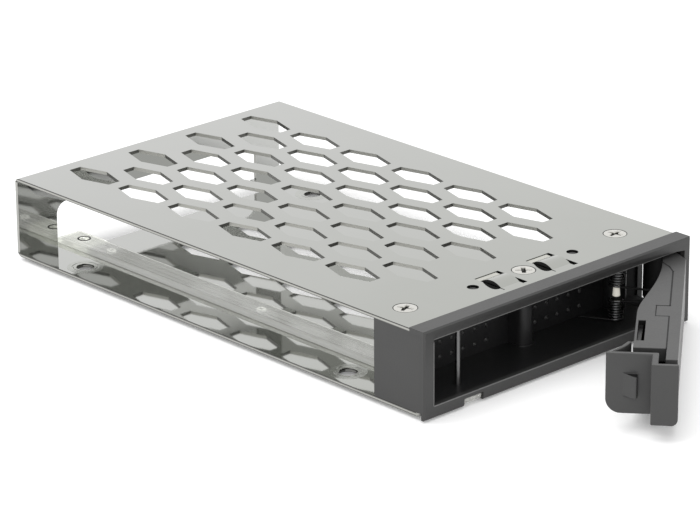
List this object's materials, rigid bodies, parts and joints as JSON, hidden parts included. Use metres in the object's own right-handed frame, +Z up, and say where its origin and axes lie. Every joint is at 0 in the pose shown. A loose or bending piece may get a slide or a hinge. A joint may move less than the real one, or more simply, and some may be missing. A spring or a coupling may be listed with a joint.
{
  "type": "hard drive tray",
  "caption": "Sheet steel tray for a 2.5 inch drive, with a moulded front bezel, a light pipe and a sprung ejector lever with a sliding latch.",
  "frame": {"origin": "centre of the four drive holes, on the underside of the tray's floor", "axes": "+X to the right along the bezel, +Y from the bezel to the back wall, +Z up through the tray"},
  "size_m": [0.0712, 0.1553, 0.0178],
  "materials": {
    "tray_steel": "polished",
    "black_plastic": "fine moulded satin",
    "lever_plastic": "fine moulded satin",
    "clear_acrylic": "polished, nearly clear",
    "pin_steel": "ground",
    "sleeve_nylon": "natural nylon",
    "screw_nickel": "nickel plated",
    "spring_steel": "drawn wire"
  },
  "bodies": {
    "tray": {"tray_shell": "tray_steel", "bezel": "black_plastic", "light_pipe": "clear_acrylic", "pivot_pin": "pin_steel", "catch_pin": "pin_steel", "spring_pin": "pin_steel", "spring_sleeve": "sleeve_nylon", "top_screws": "screw_nickel", "floor_screws": "screw_nickel", "lever_spring": "spring_steel"},
    "lever": {"lever_panel": "lever_plastic", "lever_housing": "lever_plastic", "latch_spring": "spring_steel"},
    "latch": {"latch_slide": "lever_plastic"}
  },
  "joints": [
    {"name": "lever_hinge", "type": "hinge", "parent": "tray", "child": "lever", "pos_m": [0.031, -0.0599, 0.0083], "axis": [0, 0, 1], "range_deg": [-40.4, 0], "stiffness_Nm_per_rad": 0.004, "springref_deg": 57.3, "deforming": ["lever_spring"]},
    {"name": "latch_press", "type": "slide", "parent": "lever", "child": "latch", "axis": [0.7615, 0.6481, 0], "range_m": [0, 0.0018], "stiffness_N_per_m": 900, "springref_m": -0.001, "deforming": ["latch_spring"]}
  ]
}
